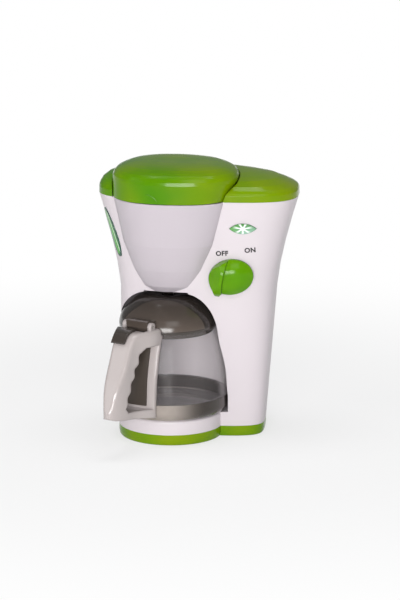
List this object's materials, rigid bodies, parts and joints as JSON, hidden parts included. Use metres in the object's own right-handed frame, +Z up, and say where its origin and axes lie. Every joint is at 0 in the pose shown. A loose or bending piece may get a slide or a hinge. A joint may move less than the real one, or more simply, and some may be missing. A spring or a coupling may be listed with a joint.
{
  "type": "toy coffee maker",
  "caption": "Free-standing toy drip coffee maker with a flared body, hinged brew lid, turning knob and a lift-out jug with a hinged lid and a slanted grip.",
  "frame": {"origin": "the point of the base's flat underside on the jug's own upright axis", "axes": "+X to the object's right seen from the front, +Y to the back, +Z up; the front faces -Y"},
  "size_m": [0.1506, 0.1527, 0.21],
  "materials": {
    "white_shell": "moulded, half gloss",
    "green_shell": "moulded, half gloss",
    "knob_green": "moulded, half gloss",
    "lens_green": "clear tinted",
    "window_grey": "clear tinted",
    "clear_plastic": "clear moulded",
    "dark_plastic": "moulded, half gloss",
    "dark_liner": "fine matte",
    "grey_handle": "moulded, glossy",
    "steel": "plated",
    "contact_steel": "sprung strip",
    "board_green": "lacquered",
    "lamp_green": "clear tinted",
    "inner_black": "matte",
    "inner_white": "matte",
    "cell_wrap": "printed wrap, bare of words"
  },
  "bodies": {
    "housing": {"front_housing": "white_shell", "rear_housing": "white_shell", "brew_bowl": "white_shell", "base_cover": "green_shell", "top_cover": "green_shell", "lid_hinge_pin": "steel", "drip_nozzle": "white_shell", "indicator_lens": "lens_green", "level_window": "window_grey", "rotary_switch": "inner_black", "circuit_board": "board_green", "lamp": "lamp_green", "speaker": "inner_black", "battery_box": "inner_white", "battery_door": "green_shell", "battery_contacts": "contact_steel", "batteries": "cell_wrap", "base_screws": "steel", "rear_screws": "steel", "door_screw": "steel"},
    "brew_lid": {"brew_lid": "green_shell"},
    "knob": {"control_knob": "knob_green", "knob_spindle": "inner_white"},
    "jug": {"jug_body": "clear_plastic", "jug_band": "dark_plastic", "jug_collar": "dark_plastic", "jug_handle": "grey_handle", "thumb_rest": "dark_plastic", "grip_liner": "dark_liner", "jug_lid_pin": "steel"},
    "jug_lid": {"jug_lid": "dark_plastic"}
  },
  "joints": [
    {"name": "brew_lid_hinge", "type": "hinge", "parent": "housing", "child": "brew_lid", "pos_m": [0.006, 0.0525, 0.197], "axis": [-1, 0, 0], "range_deg": [0, 95]},
    {"name": "knob_turn", "type": "hinge", "parent": "housing", "child": "knob", "pos_m": [0.0497, -0.01411, 0.12636], "axis": [-0.1383, 0.9841, 0.111], "range_deg": [0, 55]},
    {"name": "jug_slide", "type": "slide", "parent": "housing", "child": "jug", "axis": [0, -1, 0], "range_m": [0, 0.26]},
    {"name": "jug_lid_hinge", "type": "hinge", "parent": "jug", "child": "jug_lid", "pos_m": [-0.01559, -0.04061, 0.0926], "axis": [0.9336, -0.3584, 0], "range_deg": [0, 28.7]}
  ],
  "couplings": [
    {"joint": "jug_lid_hinge", "follows": "jug_slide", "rad_per_m": 1.92}
  ]
}
